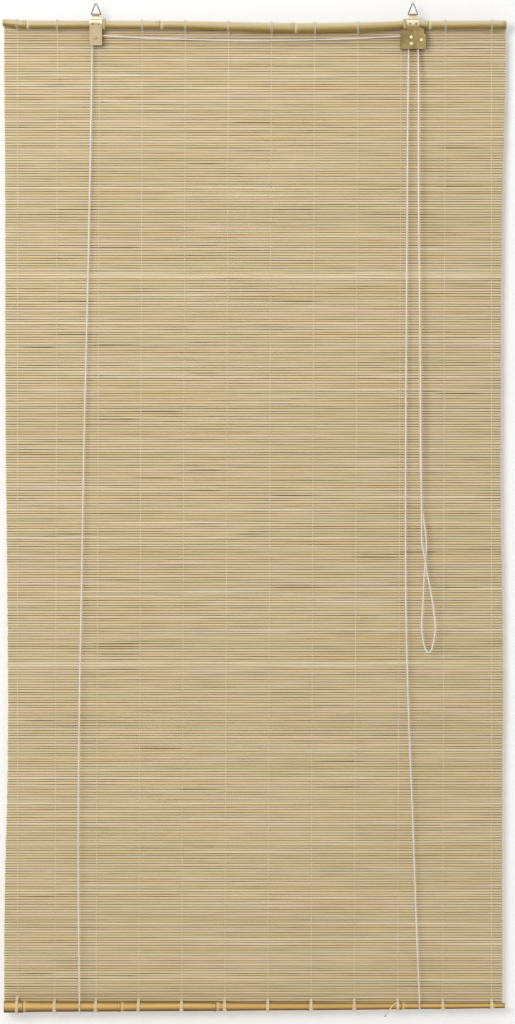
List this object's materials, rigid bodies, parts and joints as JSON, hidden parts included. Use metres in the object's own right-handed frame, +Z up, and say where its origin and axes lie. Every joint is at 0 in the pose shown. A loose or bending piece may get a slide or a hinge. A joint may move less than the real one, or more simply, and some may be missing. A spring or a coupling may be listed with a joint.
{
  "type": "bamboo roll-up blind",
  "caption": "Roll-up window blind: a split-bamboo mat between canes at top and bottom, hung from wire rings and raised by a looped cord that runs through a pulley and a cord lock.",
  "frame": {"origin": "Midway between the two hanging rings, in the plane of the rings and at the height of the hooks inside their tips.", "axes": "+X to the right along the canes, seen from the front; +Y to the back, towards the window; +Z up."},
  "size_m": [0.8, 0.0247, 1.6161],
  "materials": {
    "pale_cane": "dried cane with a waxy skin, pale on top and olive brown below",
    "honey_cane": "dried cane with a waxy honey-coloured skin",
    "split_bamboo": "raw split bamboo, straw to tan, each splint a little different",
    "white_thread": "twisted cotton thread",
    "white_cord": "white braided cord",
    "brass_sheet": "brass-coloured plated sheet, worn and dull",
    "cam_brass": "plain pressed metal",
    "bright_rivet": "bright domed rivet",
    "steel_wire": "grey drawn wire",
    "dark_steel": "dark nail",
    "white_plastic": "off-white moulded pulley"
  },
  "bodies": {
    "headrail": {"top_rail": "pale_cane", "mat": "split_bamboo", "warp_threads": "white_thread", "top_lashings": "white_thread", "left_bracket": "brass_sheet", "bracket_nails": "dark_steel", "left_axle": "bright_rivet", "lock_housing": "brass_sheet", "lock_face": "brass_sheet", "lock_rivets": "bright_rivet", "lock_spacer": "bright_rivet", "cord_ties": "white_cord", "cross_cord": "white_cord", "pull_cord": "white_cord", "left_front_cord": "white_cord", "right_front_cord": "white_cord", "left_back_cord": "white_cord", "right_back_cord": "white_cord"},
    "bottom_bar": {"bottom_rail": "honey_cane", "bottom_lashings": "white_thread", "cord_slings": "white_cord"},
    "ring_left": {"left_ring": "steel_wire"},
    "ring_right": {"right_ring": "steel_wire"},
    "pulley_left": {"left_pulley": "white_plastic"},
    "pulley_lock": {"lock_pulley": "white_plastic"},
    "cam": {"lock_cam": "cam_brass"}
  },
  "joints": [
    {"name": "lift", "type": "slide", "parent": "headrail", "child": "bottom_bar", "axis": [0, 0, 1], "range_m": [0, 1.45], "deforming": ["mat", "warp_threads", "left_front_cord", "right_front_cord", "left_back_cord", "right_back_cord"]},
    {"name": "left_ring_swing", "type": "hinge", "parent": "headrail", "child": "ring_left", "pos_m": [-0.252, 0, -0.0164], "axis": [1, 0, 0], "range_deg": [-90, 90]},
    {"name": "right_ring_swing", "type": "hinge", "parent": "headrail", "child": "ring_right", "pos_m": [0.252, 0, -0.0164], "axis": [1, 0, 0], "range_deg": [-90, 90]},
    {"name": "left_pulley_spin", "type": "hinge", "parent": "headrail", "child": "pulley_left", "pos_m": [-0.252, 0, -0.0547], "axis": [0, 1, 0], "continuous": true},
    {"name": "lock_pulley_spin", "type": "hinge", "parent": "headrail", "child": "pulley_lock", "pos_m": [0.2492, 0, -0.0532], "axis": [0, 1, 0], "continuous": true},
    {"name": "cam_swing", "type": "hinge", "parent": "headrail", "child": "cam", "pos_m": [0.2652, 0, -0.0576], "axis": [0, 1, 0], "range_deg": [-20, 22]}
  ],
  "couplings": [
    {"joint": "left_pulley_spin", "follows": "lift", "rad_per_m": 344.83},
    {"joint": "lock_pulley_spin", "follows": "lift", "rad_per_m": 476.19}
  ]
}
